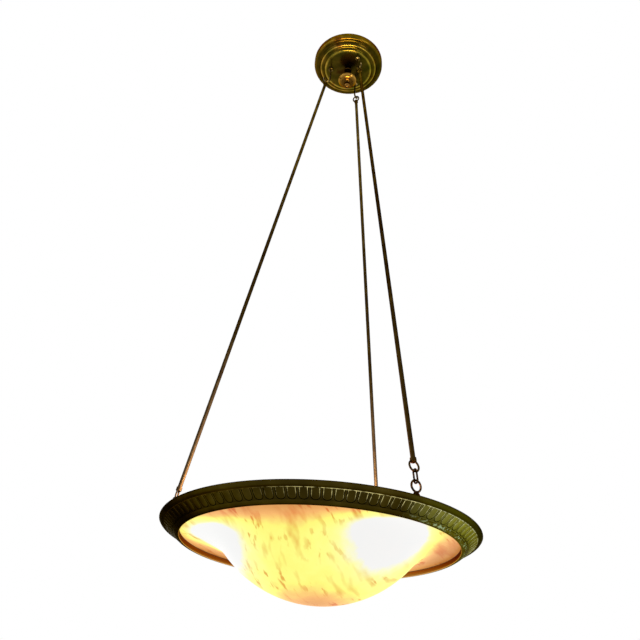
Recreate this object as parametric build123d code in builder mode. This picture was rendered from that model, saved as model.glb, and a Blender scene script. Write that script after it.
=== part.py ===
"""Alabaster bowl pendant, held from a ceiling canopy by three slim rods.

Sizes are in millimetres.  The origin is the centre of the mounting strap's
upper face, in the ceiling plane, and +Z points up, so the lamp hangs below
zero.  The front of the lamp faces -Y.
"""

import os
from math import atan2, cos, degrees, hypot, pi, radians, sin, sqrt, tan

from build123d import *

os.makedirs("parts", exist_ok=True)

# ---------------------------------------------------------------- layout
HANG_DROP = 1042.0  # ceiling to the top face of the rim ring
ROD_NAMES = ("front", "left", "back")
FIRST_ROD_ANGLE = -60.0  # bearing of the front rod from +X
LAMP_SHIFT = 10.0  # bearing from each rod on to its lamp
rod_angles = [FIRST_ROD_ANGLE - 120.0 * i for i in range(3)]
lamp_angles = [angle + LAMP_SHIFT for angle in rod_angles]
arm_angles = [angle + 60.0 for angle in lamp_angles]

# ---------------------------------------------------------------- fits
SLIP = 0.05  # radial gap of a shank in its bore
SCREW_GAP = 0.2  # radial gap of a screw in a plain hole
SWING_GAP = 0.3  # gap between a hook and the eye that swings in it
LINK_REST_GAP = 0.1  # gap between a link and the rod eye it hangs in
OPEN_PIVOT_GAP = 0.9  # gap between a link and the rim eye below it

# ---------------------------------------------------------------- canopy
CANOPY_OD = 150.0
CANOPY_WALL = 1.2
CANOPY_RIM_HEIGHT = 9.0
CANOPY_ROLL_R = 4.0  # rounded outer edge
COVE_WIDTH = 9.5
COVE_HEIGHT = 4.0
COVE_SAG = 1.8
BEAD_WIDTH = 3.0
BEAD_HEIGHT = 2.6
BEAD_SAG = 1.2
SCOTIA_WIDTH = 6.5
SCOTIA_HEIGHT = 2.6
SCOTIA_SAG = 1.0
FACE_EDGE_R = 1.8

STRAP_LENGTH = 118.0
STRAP_WIDTH = 19.0
STRAP_THICKNESS = 2.5
BOX_SCREW_SPACING = 88.9  # ceiling box screws, 3 1/2 in apart
BOX_SLOT_WIDTH = 4.8
BOX_SLOT_LENGTH = 14.0
GROUND_SCREW_OFFSET = 22.0
GROUND_SCREW_D = 4.0
GROUND_SCREW_HEAD_D = 9.0
GROUND_SCREW_HEAD_HEIGHT = 2.4

PLATE_EDGE_GAP = 4.2  # edge of the canopy's flat face in to the plate's edge
PLATE_THICKNESS = 2.5

NIPPLE_D = 9.8
NIPPLE_BORE = 6.0
NIPPLE_LENGTH = 46.0
NIPPLE_END_ROOM = 2.0  # end of the nipple to the bottom of the finial's bore
LOCKNUT_ACROSS = 16.0
LOCKNUT_HEIGHT = 4.0

# ---------------------------------------------------------------- finial
FINIAL_SEAT_R = 8.0
FINIAL_SEAT_HEIGHT = 2.0
FINIAL_NECK_R = 6.5
FINIAL_NECK_DROP = 6.0
FINIAL_NECK_SAG = 0.4
FINIAL_BELL_R = 19.5
FINIAL_BELL_DROP = 34.0  # canopy face to the edge of the bell
FINIAL_BELL_SAG = 3.0
FINIAL_BELL_EDGE = 1.8
FINIAL_STEP_R = 12.0
FINIAL_STEP_DROP = 40.0
FINIAL_STEP_SAG = 1.0
FINIAL_STEM_R = 4.5
FINIAL_STEM_DROP = 44.0
FINIAL_STEM_SAG = 1.4
FINIAL_KNOB_R = 6.5
FINIAL_KNOB_DROP = 51.0  # canopy face to the centre of the knob

# ---------------------------------------------------------------- hooks
HOOK_EDGE_INSET = 8.3  # plate's edge in to the hook's shank
HOOK_WIRE_D = 3.5
HOOK_BOW_R = 6.5  # centre line of the bow
HOOK_DROP = 59.0  # ceiling to the centre of the bow
HOOK_TIP_RISE = 4.0
HOOK_COLLAR_R = 5.6
HOOK_COLLAR_HEIGHT = 4.0
HOOK_COLLAR_ROUND = 2.4
HOOK_NUT_ACROSS = 7.0
HOOK_NUT_HEIGHT = 3.2
HOOK_SHANK_PROUD = 1.0

# ---------------------------------------------------------------- rods
ROD_OD = 6.35
ROD_BORE = 4.5
UPPER_EYE_OD = 16.0
UPPER_EYE_WIRE = 2.8
LOWER_EYE_OD = 17.0
LOWER_EYE_WIRE = 2.6
EYE_COLLAR_D = 8.4
EYE_COLLAR_HEIGHT = 3.6
EYE_COLLAR_LAP = 2.2  # how far the collar runs down over the eye's wire
EYE_COLLAR_ROUND = 1.4
EYE_SHANK_LENGTH = 12.0
LINK_WIRE = 2.4
LINK_LENGTH = 20.6  # outside
LINK_WIDTH = 8.4  # outside

# ---------------------------------------------------------------- rim ring
RIM_OD = 450.0
RIM_BORE_INSET = 20.5  # outer edge in to the bore above the ledge
RIM_LIP_INSET = 29.9  # outer edge in to the lip's inner edge
RIM_HEIGHT = 21.4
RIM_BAND_WIDTH = 6.4  # smooth band under the outer edge
RIM_BAND_HEIGHT = 7.0
RIM_BAND_SAG = 0.9
RIM_EDGE_R = 3.0
RIM_STEP = 0.9
RIM_ORNAMENT_WIDTH = 14.6
RIM_ORNAMENT_HEIGHT = 11.2
RIM_LIP_FACE_WIDTH = 7.0
RIM_LIP_SAG = 0.6
RIM_LEDGE_DEPTH = 14.3  # top face down to the ledge
FELT_THICKNESS = 1.0
FELT_SETBACK = 0.5  # lip's inner edge out to the felt

# Tongue-and-dart border, cut into the ornament band.
TONGUE_PITCH = 13.8
TONGUE_CHANNEL_WIDTH = 1.1
TONGUE_CHANNEL_DEPTH = 0.9
TONGUE_DART_WIDTH = 1.1  # between two channels at the foot of the band
TONGUE_HEAD_MARGIN = 0.6
TONGUE_FOOT_MARGIN = 0.8

RIM_EYE_INSET = 12.0  # outer edge in to the eye's axis
RIM_EYE_OD = 17.0
RIM_EYE_WIRE = 2.7
RIM_EYE_HEIGHT = 14.4  # top face up to the ring's centre
RIM_EYE_BASE_R = 6.2
RIM_EYE_NECK_R = 2.6
RIM_EYE_SHANK_R = 2.0
RIM_EYE_SHANK_LENGTH = 5.5
RIM_EYE_HOLE_ROOM = 1.0  # end of the shank to the bottom of its hole

# ---------------------------------------------------------------- bowl
BOWL_WALL = 9.0
BOWL_EDGE_GAP = 1.5  # bowl's edge to the rim's bore
FLANGE_SLOPE = 6.0
FLANGE_RUN = 25.0  # lip's edge in to the start of the flare
FLARE_R = 60.0
DOME_SLOPE = 48.0  # slope where the flare meets the dome
BOWL_EDGE_R = 1.5

# ---------------------------------------------------------------- lamps
CLUSTER_ACROSS = 68.0  # across the flats of the six-sided cup
CLUSTER_HEIGHT = 30.0
CLUSTER_WALL = 1.6
COVER_THICKNESS = 1.6
HOLDER_LENGTH = 48.0
HOLDER_OD = 36.0
HOLDER_BACK_OD = 28.0
HOLDER_BACK_LENGTH = 14.0
HOLDER_SHOULDER = 4.0
HOLDER_WELL_DEPTH = 27.0
HOLDER_NIPPLE_D = 10.0
HOLDER_NIPPLE_WALL = 1.5
HOLDER_NIPPLE_LENGTH = 12.0
HOLDER_NIPPLE_PROUD = 2.0  # past the cup's wall, inside the cup
SCREW_SHELL_BORE = 27.0
SCREW_SHELL_WALL = 0.7
SCREW_SHELL_LENGTH = 23.0
BULB_CAP_D = 26.2
BULB_CAP_LENGTH = 24.0
BULB_CAP_TAPER = 2.0
BULB_CAP_TAPER_DEPTH = 3.0
BULB_CONTACT_LENGTH = 2.2
BULB_CONTACT_R = 4.5
GLASS_R = 24.0
GLASS_NECK_R = 12.6
GLASS_NECK_LENGTH = 14.0
GLASS_LENGTH = 67.0  # past the cap
GLASS_WALL = 1.0
GLASS_SHOULDER_SLOPE = 53.0  # where the neck meets the globe
LAMP_CLEARANCE = 7.0  # glass to alabaster

ARM_WIDTH = 14.0
ARM_THICKNESS = 2.0
ARM_TAB_LENGTH = 12.0
ARM_TAB_END = 4.8  # screw's axis out to the end of the tab
ARM_HUB_R = 22.0
ARM_SCREW_INSET = 16.0  # rim's outer edge in to the screws
ARM_SCREW_D = 4.0
ARM_SCREW_HEAD_D = 7.0
ARM_SCREW_HEAD_HEIGHT = 1.6
ARM_SCREW_LENGTH = 8.0
CLUSTER_BOLT_D = 6.0
CLUSTER_BOLT_HEAD_ACROSS = 10.0
CLUSTER_BOLT_HEAD_HEIGHT = 4.0
CLUSTER_NUT_HEIGHT = 5.0
CLUSTER_BOLT_PROUD = 1.5  # past the nut


def radial_plane(angle):
    """Upright plane through the lamp's axis: x runs outward, y runs up."""
    a = radians(angle)
    return Plane(origin=(0, 0, 0), x_dir=(cos(a), sin(a), 0), z_dir=(sin(a), -cos(a), 0))


def at_bearing(angle, r, z):
    """Point at a radius and height on the bearing."""
    a = radians(angle)
    return Vector(r * cos(a), r * sin(a), z)


def finish(piece, name):
    """Label a sub-part and write it."""
    piece.part.label = name
    export_step(piece.part, f"parts/{name}.step")


# ------------------------------------------------- sizes that follow
canopy_r = CANOPY_OD / 2
cove_start = (canopy_r - CANOPY_ROLL_R, -CANOPY_RIM_HEIGHT - CANOPY_ROLL_R)
cove_end = (cove_start[0] - COVE_WIDTH, cove_start[1] - COVE_HEIGHT)
bead_end = (cove_end[0] - BEAD_WIDTH, cove_end[1] - BEAD_HEIGHT)
scotia_end = (bead_end[0] - SCOTIA_WIDTH, bead_end[1] - SCOTIA_HEIGHT)
face_r = scotia_end[0] - FACE_EDGE_R
face_z = scotia_end[1] - FACE_EDGE_R
plate_bottom = face_z + CANOPY_WALL
plate_top = plate_bottom + PLATE_THICKNESS
plate_r = face_r - PLATE_EDGE_GAP
hook_circle_r = plate_r - HOOK_EDGE_INSET

rim_r = RIM_OD / 2
rim_top = -HANG_DROP
bore_r = rim_r - RIM_BORE_INSET
lip_r = rim_r - RIM_LIP_INSET
ledge_z = rim_top - RIM_LEDGE_DEPTH
bowl_seat = ledge_z + FELT_THICKNESS
bowl_edge = bore_r - BOWL_EDGE_GAP

# The rod runs straight from the centre of the hook's bow to the top of the
# rim eye, so each rod is drawn on the line between those two points.
bow_r = hook_circle_r + HOOK_BOW_R
bow_z = -HOOK_DROP
rim_eye_r = rim_r - RIM_EYE_INSET
rim_eye_z = rim_top + RIM_EYE_HEIGHT
rim_eye_bend = (RIM_EYE_OD - RIM_EYE_WIRE) / 2
rim_eye_top = rim_eye_z + rim_eye_bend
rod_lean = degrees(atan2(rim_eye_r - bow_r, bow_z - rim_eye_top))
rod_line = hypot(rim_eye_r - bow_r, bow_z - rim_eye_top)

# Distances down the rod line from the centre of the hook's bow.
upper_eye_bend = (UPPER_EYE_OD - UPPER_EYE_WIRE) / 2
lower_eye_bend = (LOWER_EYE_OD - LOWER_EYE_WIRE) / 2
link_bend = (LINK_WIDTH - LINK_WIRE) / 2
hook_seat = HOOK_BOW_R - HOOK_WIRE_D / 2
upper_eye_at = hook_seat - SWING_GAP - UPPER_EYE_WIRE / 2 + upper_eye_bend
tube_start = upper_eye_at + upper_eye_bend + EYE_COLLAR_HEIGHT
link_foot = rod_line + (RIM_EYE_WIRE + LINK_WIRE) / 2 + OPEN_PIVOT_GAP
link_head = link_foot - (LINK_LENGTH - LINK_WIRE)
lower_eye_at = link_head + LINK_WIRE / 2 + LINK_REST_GAP + LOWER_EYE_WIRE / 2 - lower_eye_bend
tube_end = lower_eye_at - lower_eye_bend - EYE_COLLAR_HEIGHT
swing_pivot = hook_seat - SWING_GAP / 2

# Bowl outline: the flange slopes in from the lip, flares down and meets a
# round dome with no break in slope.
flare_start = Vector(lip_r - FLANGE_RUN, bowl_seat - FLANGE_RUN * tan(radians(FLANGE_SLOPE)))
flare_centre = flare_start + Vector(sin(radians(FLANGE_SLOPE)), -cos(radians(FLANGE_SLOPE))) * FLARE_R
dome_edge = flare_centre + Vector(-sin(radians(DOME_SLOPE)), cos(radians(DOME_SLOPE))) * FLARE_R
dome_r = dome_edge.X / sin(radians(DOME_SLOPE))
dome_z = dome_edge.Y + dome_r * cos(radians(DOME_SLOPE))

# The spider's feet stand on the rim's top face, inside the eyes' circle.
arm_screw_r = rim_r - ARM_SCREW_INSET
tab_end = arm_screw_r + ARM_TAB_END
tab_start = tab_end - ARM_TAB_LENGTH

# The lamps lie as low as the flare of the bowl lets them.
holder_back = CLUSTER_ACROSS / 2
holder_mouth = holder_back + HOLDER_LENGTH
glass_start = holder_mouth
glass_tip = glass_start + GLASS_LENGTH
glass_r = glass_tip - GLASS_R
flare_reach = FLARE_R + BOWL_WALL + LAMP_CLEARANCE + GLASS_R
lamp_z = flare_centre.Y + sqrt(flare_reach**2 - (flare_centre.X - glass_r) ** 2)
cluster_bottom = lamp_z - CLUSTER_HEIGHT / 2
cluster_top = lamp_z + CLUSTER_HEIGHT / 2
cover_top = cluster_top + COVER_THICKNESS


# ---------------------------------------------------------------- canopy
# Spun brass cup: rolled edge, cove, bead and scotia round a flat face.
with BuildPart() as canopy_shell:
    with BuildSketch(Plane.XZ):
        with BuildLine():
            Line((0, 0), (canopy_r, 0))
            Line((canopy_r, 0), (canopy_r, -CANOPY_RIM_HEIGHT))
            RadiusArc((canopy_r, -CANOPY_RIM_HEIGHT), cove_start, CANOPY_ROLL_R)
            SagittaArc(cove_start, cove_end, -COVE_SAG)
            SagittaArc(cove_end, bead_end, BEAD_SAG)
            SagittaArc(bead_end, scotia_end, -SCOTIA_SAG)
            RadiusArc(scotia_end, (face_r, face_z), FACE_EDGE_R)
            Polyline((face_r, face_z), (0, face_z), (0, 0))
        make_face()
    revolve(axis=Axis.Z)
    ceiling_side = canopy_shell.faces().sort_by(Axis.Z)[-1]
    offset(amount=-CANOPY_WALL, openings=ceiling_side)
    with Locations((0, 0, face_z)):
        Cylinder(NIPPLE_D / 2 + SCREW_GAP, 4 * CANOPY_WALL, mode=Mode.SUBTRACT)
    with Locations((0, 0, face_z)), PolarLocations(hook_circle_r, 3, FIRST_ROD_ANGLE):
        Cylinder(HOOK_WIRE_D / 2 + SCREW_GAP, 4 * CANOPY_WALL, mode=Mode.SUBTRACT)
finish(canopy_shell, "canopy_shell")

# Pressed steel strap that screws to the ceiling box.
with BuildPart() as mounting_strap:
    with BuildSketch():
        SlotOverall(STRAP_LENGTH, STRAP_WIDTH)
        Circle(NIPPLE_D / 2 + SLIP, mode=Mode.SUBTRACT)
        with GridLocations(BOX_SCREW_SPACING, 0, 2, 1):
            SlotOverall(BOX_SLOT_LENGTH, BOX_SLOT_WIDTH, mode=Mode.SUBTRACT)
        with Locations((GROUND_SCREW_OFFSET, 0)):
            Circle(GROUND_SCREW_D / 2 + SLIP, mode=Mode.SUBTRACT)
    extrude(amount=-STRAP_THICKNESS)
finish(mounting_strap, "mounting_strap")

with BuildPart(Plane.XY.offset(-STRAP_THICKNESS)) as ground_screw:
    with Locations((GROUND_SCREW_OFFSET, 0)):
        head_down = (Align.CENTER, Align.CENTER, Align.MAX)
        Cylinder(GROUND_SCREW_HEAD_D / 2, GROUND_SCREW_HEAD_HEIGHT, align=head_down)
        thread_up = (Align.CENTER, Align.CENTER, Align.MIN)
        Cylinder(GROUND_SCREW_D / 2, STRAP_THICKNESS, align=thread_up)
finish(ground_screw, "ground_screw")

# Threaded tube from the strap down to the finial.
with BuildPart() as hanger_nipple:
    with BuildSketch():
        Circle(NIPPLE_D / 2)
        Circle(NIPPLE_BORE / 2, mode=Mode.SUBTRACT)
    extrude(amount=-NIPPLE_LENGTH)
finish(hanger_nipple, "hanger_nipple")

with BuildPart() as nipple_locknut:
    with BuildSketch(Plane.XY.offset(-STRAP_THICKNESS)):
        RegularPolygon(LOCKNUT_ACROSS / 2, 6, major_radius=False)
        Circle(NIPPLE_D / 2 + SLIP, mode=Mode.SUBTRACT)
    extrude(amount=-LOCKNUT_HEIGHT)
finish(nipple_locknut, "nipple_locknut")

# Steel disc behind the canopy's face; it carries the three hooks.
with BuildPart() as hook_plate:
    with BuildSketch(Plane.XY.offset(plate_bottom)):
        Circle(plate_r)
        Circle(NIPPLE_D / 2 + SCREW_GAP, mode=Mode.SUBTRACT)
        with PolarLocations(hook_circle_r, 3, FIRST_ROD_ANGLE):
            Circle(HOOK_WIRE_D / 2 + SCREW_GAP, mode=Mode.SUBTRACT)
    extrude(amount=PLATE_THICKNESS)
finish(hook_plate, "hook_plate")

# Turned finial nut: it screws onto the nipple and holds the canopy up.
with BuildPart() as finial:
    seat_edge = (FINIAL_SEAT_R, face_z - FINIAL_SEAT_HEIGHT)
    neck = (FINIAL_NECK_R, face_z - FINIAL_NECK_DROP)
    bell_edge = (FINIAL_BELL_R, face_z - FINIAL_BELL_DROP)
    bell_under = (FINIAL_BELL_R, bell_edge[1] - FINIAL_BELL_EDGE)
    step_edge = (FINIAL_STEP_R, face_z - FINIAL_STEP_DROP)
    stem_top = (FINIAL_STEM_R, face_z - FINIAL_STEM_DROP)
    knob_centre = face_z - FINIAL_KNOB_DROP
    knob_join = knob_centre + sqrt(FINIAL_KNOB_R**2 - FINIAL_STEM_R**2)
    with BuildSketch(Plane.XZ):
        with BuildLine():
            Polyline((0, face_z), (FINIAL_SEAT_R, face_z), seat_edge)
            SagittaArc(seat_edge, neck, -FINIAL_NECK_SAG)
            SagittaArc(neck, bell_edge, -FINIAL_BELL_SAG)
            Line(bell_edge, bell_under)
            SagittaArc(bell_under, step_edge, FINIAL_STEP_SAG)
            SagittaArc(step_edge, stem_top, -FINIAL_STEM_SAG)
            Line(stem_top, (FINIAL_STEM_R, knob_join))
            ThreePointArc(
                (FINIAL_STEM_R, knob_join),
                (FINIAL_KNOB_R, knob_centre),
                (0, knob_centre - FINIAL_KNOB_R),
            )
            Line((0, knob_centre - FINIAL_KNOB_R), (0, face_z))
        make_face()
    revolve(axis=Axis.Z)
    bore_foot = -NIPPLE_LENGTH - NIPPLE_END_ROOM
    with Locations((0, 0, bore_foot)):
        bore_up = (Align.CENTER, Align.CENTER, Align.MIN)
        Cylinder(NIPPLE_D / 2 + SLIP, face_z - bore_foot, align=bore_up, mode=Mode.SUBTRACT)
finish(finial, "finial")

# ---------------------------------------------------------------- hooks
# Bent brass hooks with a turned collar, one above each rod.
for name, angle in zip(ROD_NAMES, rod_angles):
    upright = radial_plane(angle)
    shank_top = plate_top + HOOK_NUT_HEIGHT + HOOK_SHANK_PROUD
    with BuildPart() as hook:
        with BuildLine(upright) as hook_path:
            stem = Line((hook_circle_r, shank_top), (hook_circle_r, bow_z))
            bow = ThreePointArc(
                stem @ 1,
                (bow_r, bow_z - HOOK_BOW_R),
                (bow_r + HOOK_BOW_R, bow_z),
            )
            Line(bow @ 1, (bow_r + HOOK_BOW_R, bow_z + HOOK_TIP_RISE))
        with BuildSketch(Plane(origin=at_bearing(angle, hook_circle_r, shank_top))):
            Circle(HOOK_WIRE_D / 2)
        sweep(path=hook_path.wire())
        with Locations(at_bearing(angle, hook_circle_r, face_z)):
            hang_down = (Align.CENTER, Align.CENTER, Align.MAX)
            Cylinder(HOOK_COLLAR_R, HOOK_COLLAR_HEIGHT, align=hang_down)
        collar_rim = hook.edges().filter_by(GeomType.CIRCLE).filter_by(
            lambda e: abs(e.radius - HOOK_COLLAR_R) < 0.01
        )
        fillet(collar_rim.sort_by(Axis.Z)[0], HOOK_COLLAR_ROUND)
    finish(hook, f"hook_{name}")

with BuildPart() as hook_nuts:
    with BuildSketch(Plane.XY.offset(plate_top)):
        with PolarLocations(hook_circle_r, 3, FIRST_ROD_ANGLE):
            RegularPolygon(HOOK_NUT_ACROSS / 2, 6, major_radius=False)
            Circle(HOOK_WIRE_D / 2 + SLIP, mode=Mode.SUBTRACT)
    extrude(amount=HOOK_NUT_HEIGHT)
finish(hook_nuts, "hook_nuts")

# ---------------------------------------------------------------- rods
def rod_plane(angle, distance):
    """Plane square to the rod on the bearing, at a distance down its line."""
    top = at_bearing(angle, bow_r, bow_z)
    along = (top - at_bearing(angle, rim_eye_r, rim_eye_top)).normalized()
    return Plane(origin=top - along * distance, x_dir=radial_plane(angle).z_dir, z_dir=along)


# Each rod is a tube with an eye pinned into both ends.  A collar laps over
# the wire of each eye, and an oval link joins the lower eye to the rim's eye.
for name, angle in zip(ROD_NAMES, rod_angles):
    above = (Align.CENTER, Align.CENTER, Align.MIN)
    below = (Align.CENTER, Align.CENTER, Align.MAX)
    collar_length = EYE_COLLAR_HEIGHT + EYE_COLLAR_LAP

    with BuildPart(rod_plane(angle, upper_eye_at)) as upper_eye:
        with Locations((0, 0, EYE_COLLAR_LAP - upper_eye_bend)):
            Cylinder(EYE_COLLAR_D / 2, collar_length, align=below)
        fillet(upper_eye.edges().sort_by(Axis.Z)[-1], EYE_COLLAR_ROUND)
        Torus(upper_eye_bend, UPPER_EYE_WIRE / 2, rotation=(90, 0, 0))
        with Locations((0, 0, -upper_eye_bend - EYE_COLLAR_HEIGHT)):
            Cylinder(ROD_BORE / 2 - SLIP, EYE_SHANK_LENGTH, align=below)
    finish(upper_eye, f"rod_upper_eye_{name}")

    with BuildPart() as rod_tube:
        with BuildSketch(rod_plane(angle, tube_end)):
            Circle(ROD_OD / 2)
            Circle(ROD_BORE / 2, mode=Mode.SUBTRACT)
        extrude(amount=tube_end - tube_start)
    finish(rod_tube, f"rod_tube_{name}")

    with BuildPart(rod_plane(angle, lower_eye_at)) as lower_eye:
        with Locations((0, 0, lower_eye_bend - EYE_COLLAR_LAP)):
            Cylinder(EYE_COLLAR_D / 2, collar_length, align=above)
        fillet(lower_eye.edges().sort_by(Axis.Z)[0], EYE_COLLAR_ROUND)
        Torus(lower_eye_bend, LOWER_EYE_WIRE / 2, rotation=(90, 0, 0))
        with Locations((0, 0, lower_eye_bend + EYE_COLLAR_HEIGHT)):
            Cylinder(ROD_BORE / 2 - SLIP, EYE_SHANK_LENGTH, align=above)
    finish(lower_eye, f"rod_lower_eye_{name}")

    head_plane = rod_plane(angle, link_head)
    link_plane = Plane(origin=head_plane.origin, x_dir=head_plane.y_dir, z_dir=head_plane.x_dir)
    straight = LINK_LENGTH - LINK_WIDTH
    with BuildPart() as link:
        with BuildLine(link_plane) as link_path:
            top_y = -link_bend
            foot_y = top_y - straight
            side = Line((link_bend, top_y), (link_bend, foot_y))
            ThreePointArc((link_bend, foot_y), (0, foot_y - link_bend), (-link_bend, foot_y))
            Line((-link_bend, foot_y), (-link_bend, top_y))
            ThreePointArc((-link_bend, top_y), (0, top_y + link_bend), (link_bend, top_y))
        with BuildSketch(Plane(origin=side @ 0, z_dir=side % 0)):
            Circle(LINK_WIRE / 2)
        sweep(path=link_path.wire())
    finish(link, f"link_{name}")

# ---------------------------------------------------------------- rim ring
# Cast bronze ring.  A smooth outer edge, an ornament band and a plain lip
# face down; the bowl drops in from above onto the inner ledge.
band_foot = (rim_r - RIM_BAND_WIDTH, rim_top - RIM_BAND_HEIGHT)
ornament_head = (band_foot[0] - RIM_STEP, band_foot[1])
ornament_foot = (ornament_head[0] - RIM_ORNAMENT_WIDTH, ornament_head[1] - RIM_ORNAMENT_HEIGHT)
lip_foot_z = rim_top - RIM_HEIGHT
lip_head = (lip_r + RIM_LIP_FACE_WIDTH, ornament_foot[1] - RIM_STEP)

# Each channel of the border is a hairpin round a tongue.  Its sketch lies on
# the band: x runs from the band's head to its foot and z points out of it.
band_chord = Vector(ornament_foot[0] - ornament_head[0], 0, ornament_foot[1] - ornament_head[1])
band_middle = Vector(ornament_head[0], 0, ornament_head[1]) + band_chord / 2
band_plane = Plane(origin=band_middle, x_dir=band_chord, z_dir=(-band_chord.Z, 0, band_chord.X))
tongue_count = round(2 * pi * band_middle.X / TONGUE_PITCH)
foot_pitch = 2 * pi * ornament_foot[0] / tongue_count
tongue_width = foot_pitch - TONGUE_DART_WIDTH - 2 * TONGUE_CHANNEL_WIDTH
channel_width = tongue_width + 2 * TONGUE_CHANNEL_WIDTH
channel_head = TONGUE_HEAD_MARGIN - band_chord.length / 2
channel_turn = band_chord.length / 2 - TONGUE_FOOT_MARGIN - channel_width / 2
with BuildPart() as tongue_channel:
    with BuildSketch(band_plane):
        with Locations((channel_turn, 0)):
            toward_head = (Align.MAX, Align.CENTER)
            Circle(channel_width / 2)
            Rectangle(channel_turn - channel_head, channel_width, align=toward_head)
            Circle(tongue_width / 2, mode=Mode.SUBTRACT)
            Rectangle(channel_turn - channel_head, tongue_width, align=toward_head, mode=Mode.SUBTRACT)
    extrude(amount=TONGUE_CHANNEL_DEPTH, both=True)

with BuildPart() as rim_ring:
    with BuildSketch(Plane.XZ):
        with BuildLine():
            Line((bore_r, rim_top), (rim_r - RIM_EDGE_R, rim_top))
            RadiusArc((rim_r - RIM_EDGE_R, rim_top), (rim_r, rim_top - RIM_EDGE_R), RIM_EDGE_R)
            SagittaArc((rim_r, rim_top - RIM_EDGE_R), band_foot, RIM_BAND_SAG)
            Line(band_foot, ornament_head)
            Polyline(ornament_head, ornament_foot, lip_head)
            SagittaArc(lip_head, (lip_r, lip_foot_z), RIM_LIP_SAG)
            Line((lip_r, lip_foot_z), (lip_r, ledge_z))
            Line((lip_r, ledge_z), (bore_r, ledge_z))
            Line((bore_r, ledge_z), (bore_r, rim_top))
        make_face()
    revolve(axis=Axis.Z)
    tapped = (Align.CENTER, Align.CENTER, Align.MAX)
    with Locations((0, 0, rim_top)), PolarLocations(rim_eye_r, 3, FIRST_ROD_ANGLE):
        hole_depth = RIM_EYE_SHANK_LENGTH + RIM_EYE_HOLE_ROOM
        Cylinder(RIM_EYE_SHANK_R + SLIP, hole_depth, align=tapped, mode=Mode.SUBTRACT)
    with Locations((0, 0, rim_top)), PolarLocations(arm_screw_r, 3, arm_angles[0]):
        Cylinder(ARM_SCREW_D / 2 + SLIP, ARM_SCREW_LENGTH, align=tapped, mode=Mode.SUBTRACT)
    with PolarLocations(0, tongue_count):
        add(tongue_channel.part, mode=Mode.SUBTRACT)
finish(rim_ring, "rim_ring")

# Eye bolts in tapped holes in the rim's top face, square to the bearing.
for name, angle in zip(ROD_NAMES, rod_angles):
    eye_foot = at_bearing(angle, rim_eye_r, rim_top)
    across = radial_plane(angle).z_dir
    with BuildPart(Plane(origin=eye_foot, x_dir=across, z_dir=(0, 0, 1))) as rim_eye:
        with Locations((0, 0, RIM_EYE_HEIGHT)):
            Torus(rim_eye_bend, RIM_EYE_WIRE / 2, rotation=(90, 0, 0))
        neck_top = RIM_EYE_HEIGHT - rim_eye_bend
        with Locations((0, 0, neck_top / 2)):
            Cone(RIM_EYE_BASE_R, RIM_EYE_NECK_R, neck_top)
        Cylinder(RIM_EYE_SHANK_R, RIM_EYE_SHANK_LENGTH, align=(Align.CENTER, Align.CENTER, Align.MAX))
    finish(rim_eye, f"rim_eye_{name}")

# Felt washer between the ledge and the stone.
with BuildPart() as felt_ring:
    with BuildSketch(Plane.XY.offset(ledge_z)):
        Circle(bowl_edge)
        Circle(lip_r + FELT_SETBACK, mode=Mode.SUBTRACT)
    extrude(amount=FELT_THICKNESS)
finish(felt_ring, "felt_ring")

# ---------------------------------------------------------------- bowl


def flare_point(slope, depth):
    """Point on the flare at a slope, a depth into the wall."""
    a = radians(slope)
    return flare_centre + Vector(-sin(a), cos(a)) * (FLARE_R + depth)


def dome_point(slope, depth):
    """Point on the dome at a slope, a depth into the wall."""
    a = radians(slope)
    return Vector((dome_r - depth) * sin(a), dome_z - (dome_r - depth) * cos(a))


def flange_corner(depth):
    """Corner between the flat seat and the sloping flange."""
    return Vector(lip_r - depth * tan(radians(FLANGE_SLOPE / 2)), bowl_seat + depth)


# Turned alabaster: flat seat, sloping flange, flare and round dome.
mid_flare = (FLANGE_SLOPE + DOME_SLOPE) / 2
with BuildPart() as alabaster_bowl:
    with BuildSketch(Plane.XZ):
        with BuildLine():
            Line((bowl_edge, bowl_seat), flange_corner(0))
            Line(flange_corner(0), flare_point(FLANGE_SLOPE, 0))
            ThreePointArc(
                flare_point(FLANGE_SLOPE, 0),
                flare_point(mid_flare, 0),
                flare_point(DOME_SLOPE, 0),
            )
            ThreePointArc(dome_point(DOME_SLOPE, 0), dome_point(DOME_SLOPE / 2, 0), dome_point(0, 0))
            Line(dome_point(0, 0), dome_point(0, BOWL_WALL))
            ThreePointArc(
                dome_point(0, BOWL_WALL),
                dome_point(DOME_SLOPE / 2, BOWL_WALL),
                dome_point(DOME_SLOPE, BOWL_WALL),
            )
            ThreePointArc(
                flare_point(DOME_SLOPE, BOWL_WALL),
                flare_point(mid_flare, BOWL_WALL),
                flare_point(FLANGE_SLOPE, BOWL_WALL),
            )
            Line(flare_point(FLANGE_SLOPE, BOWL_WALL), flange_corner(BOWL_WALL))
            Line(flange_corner(BOWL_WALL), (bowl_edge, bowl_seat + BOWL_WALL))
            Line((bowl_edge, bowl_seat + BOWL_WALL), (bowl_edge, bowl_seat))
        make_face()
    revolve(axis=Axis.Z)
    outer_rims = alabaster_bowl.edges().filter_by(GeomType.CIRCLE).sort_by(SortBy.RADIUS)[-2:]
    fillet(outer_rims, BOWL_EDGE_R)
finish(alabaster_bowl, "alabaster_bowl")

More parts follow.
